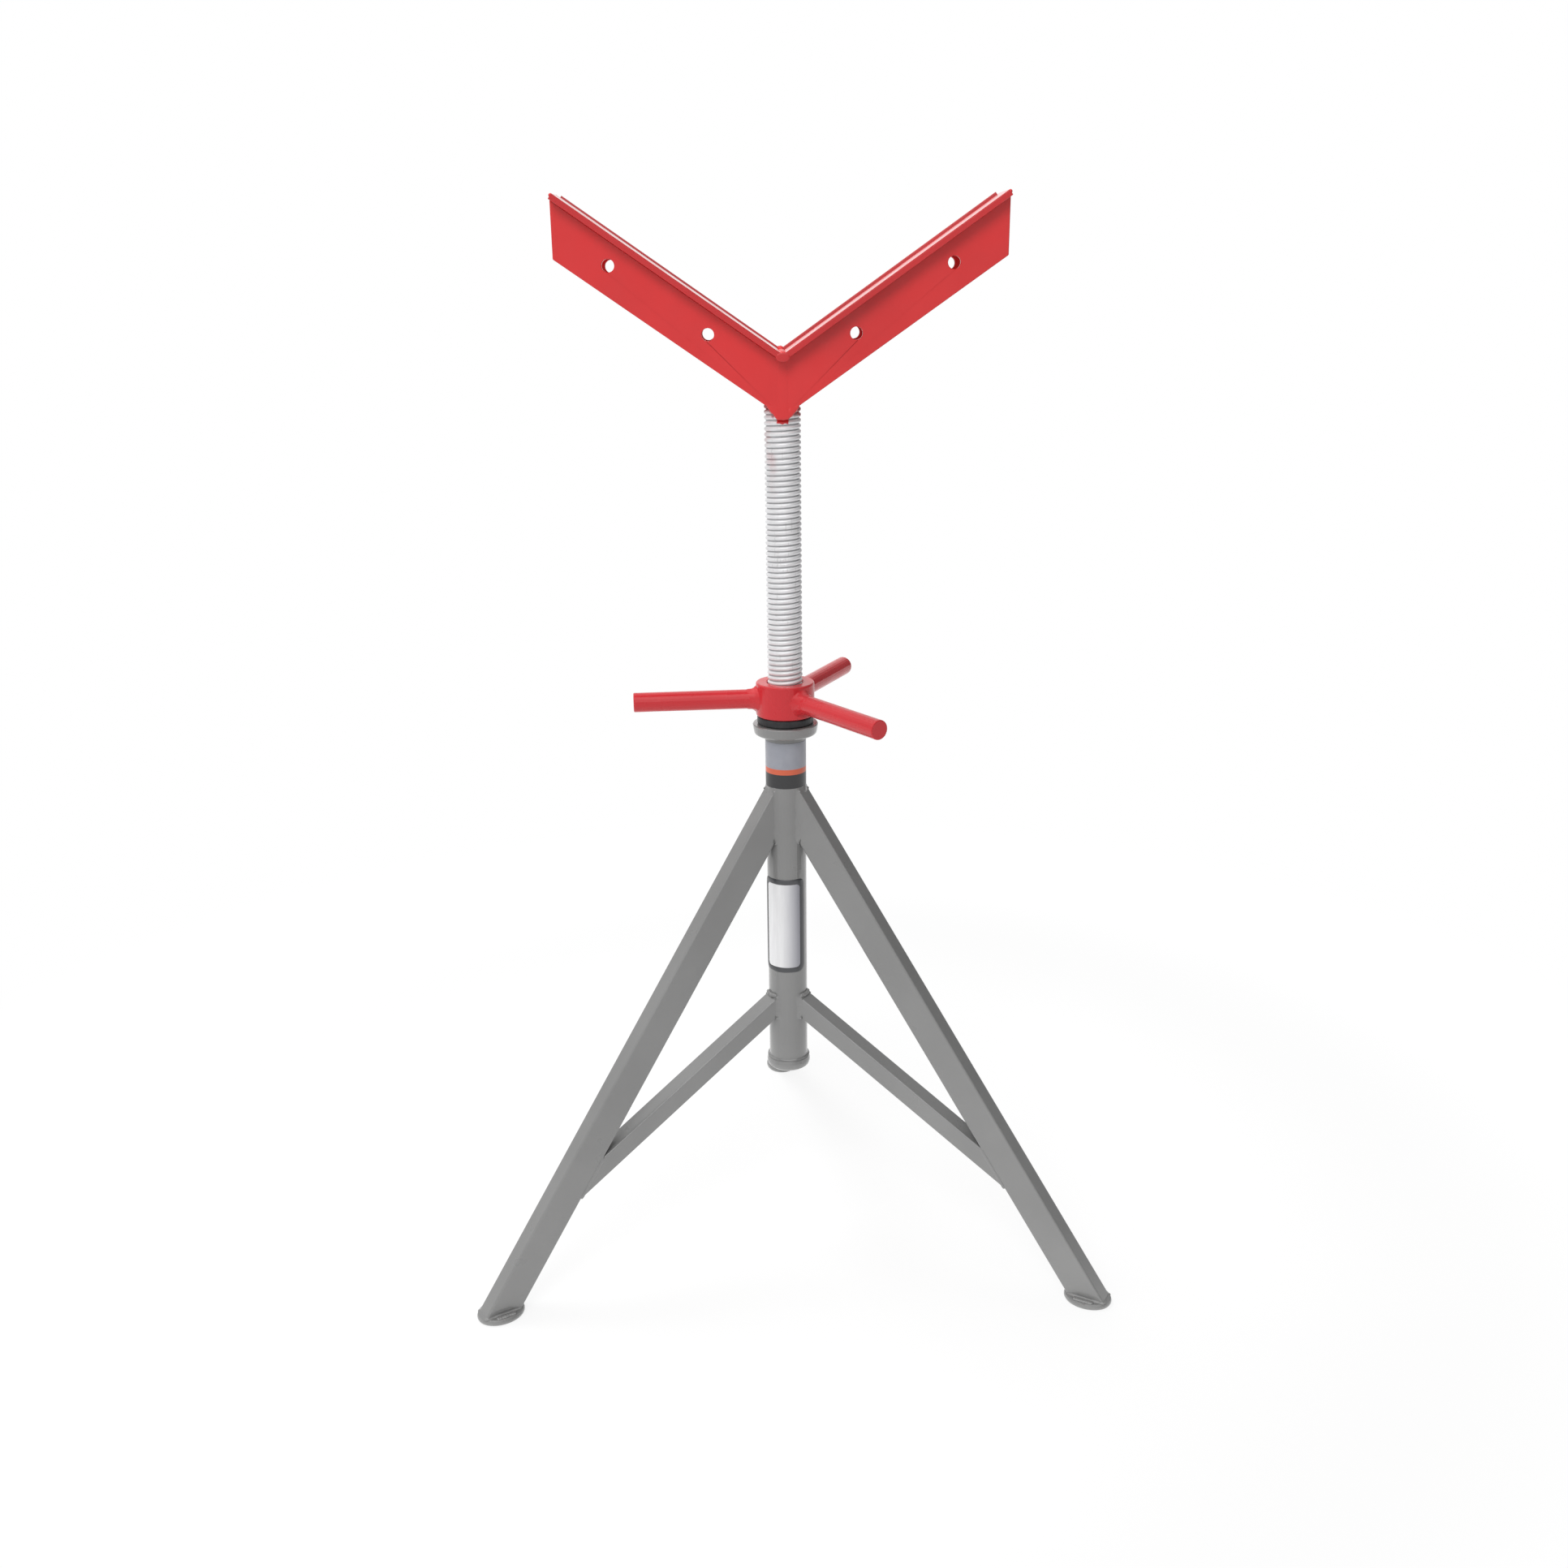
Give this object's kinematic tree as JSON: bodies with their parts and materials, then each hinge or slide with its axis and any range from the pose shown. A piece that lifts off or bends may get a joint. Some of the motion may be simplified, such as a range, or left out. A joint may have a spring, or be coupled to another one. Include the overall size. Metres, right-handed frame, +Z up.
{
  "type": "pipe jack stand",
  "caption": "Welded tripod stand for pipe: a threaded screw with a wide V head, raised by a handled nut that turns on a washer above the column.",
  "frame": {"origin": "on the floor, at the middle of the bounding box seen from above", "axes": "+Z up along the column, +X along the V to the right of the picture, +Y to the rear, along the third leg"},
  "size_m": [0.8066, 0.705, 1.3232],
  "materials": {
    "grey_paint": "satin grey enamel",
    "black_steel": "satin black",
    "red_paint": "satin red enamel",
    "bright_zinc": "bright zinc plate"
  },
  "bodies": {
    "stand": {"column_tube": "grey_paint", "top_collar": "grey_paint", "bottom_cap": "grey_paint", "leg_left": "grey_paint", "leg_right": "grey_paint", "leg_rear": "grey_paint", "brace_left": "grey_paint", "brace_right": "grey_paint", "brace_rear": "grey_paint", "foot_left": "grey_paint", "foot_right": "grey_paint", "foot_rear": "grey_paint"},
    "swivel": {"thrust_washer": "black_steel"},
    "nut": {"nut_hub": "red_paint", "handle_left": "red_paint", "handle_front": "red_paint", "handle_rear": "red_paint"},
    "head": {"lift_screw": "bright_zinc", "bearing_plate_left": "red_paint", "bearing_plate_right": "red_paint", "web_front_left": "red_paint", "web_front_right": "red_paint", "web_rear_left": "red_paint", "web_rear_right": "red_paint"}
  },
  "joints": [
    {"name": "head_swivel", "type": "hinge", "parent": "stand", "child": "swivel", "pos_m": [0, -0.11, 0.7114], "axis": [0, 0, 1], "continuous": true},
    {"name": "nut_spin", "type": "hinge", "parent": "swivel", "child": "nut", "pos_m": [0, -0.11, 0.743], "axis": [0, 0, 1], "range_deg": [-4250, 17850]},
    {"name": "screw_lift", "type": "slide", "parent": "swivel", "child": "head", "axis": [0, 0, 1], "range_m": [-0.315, 0.075]}
  ],
  "couplings": [
    {"joint": "screw_lift", "follows": "nut_spin", "m_per_rad": -0.0010106}
  ]
}
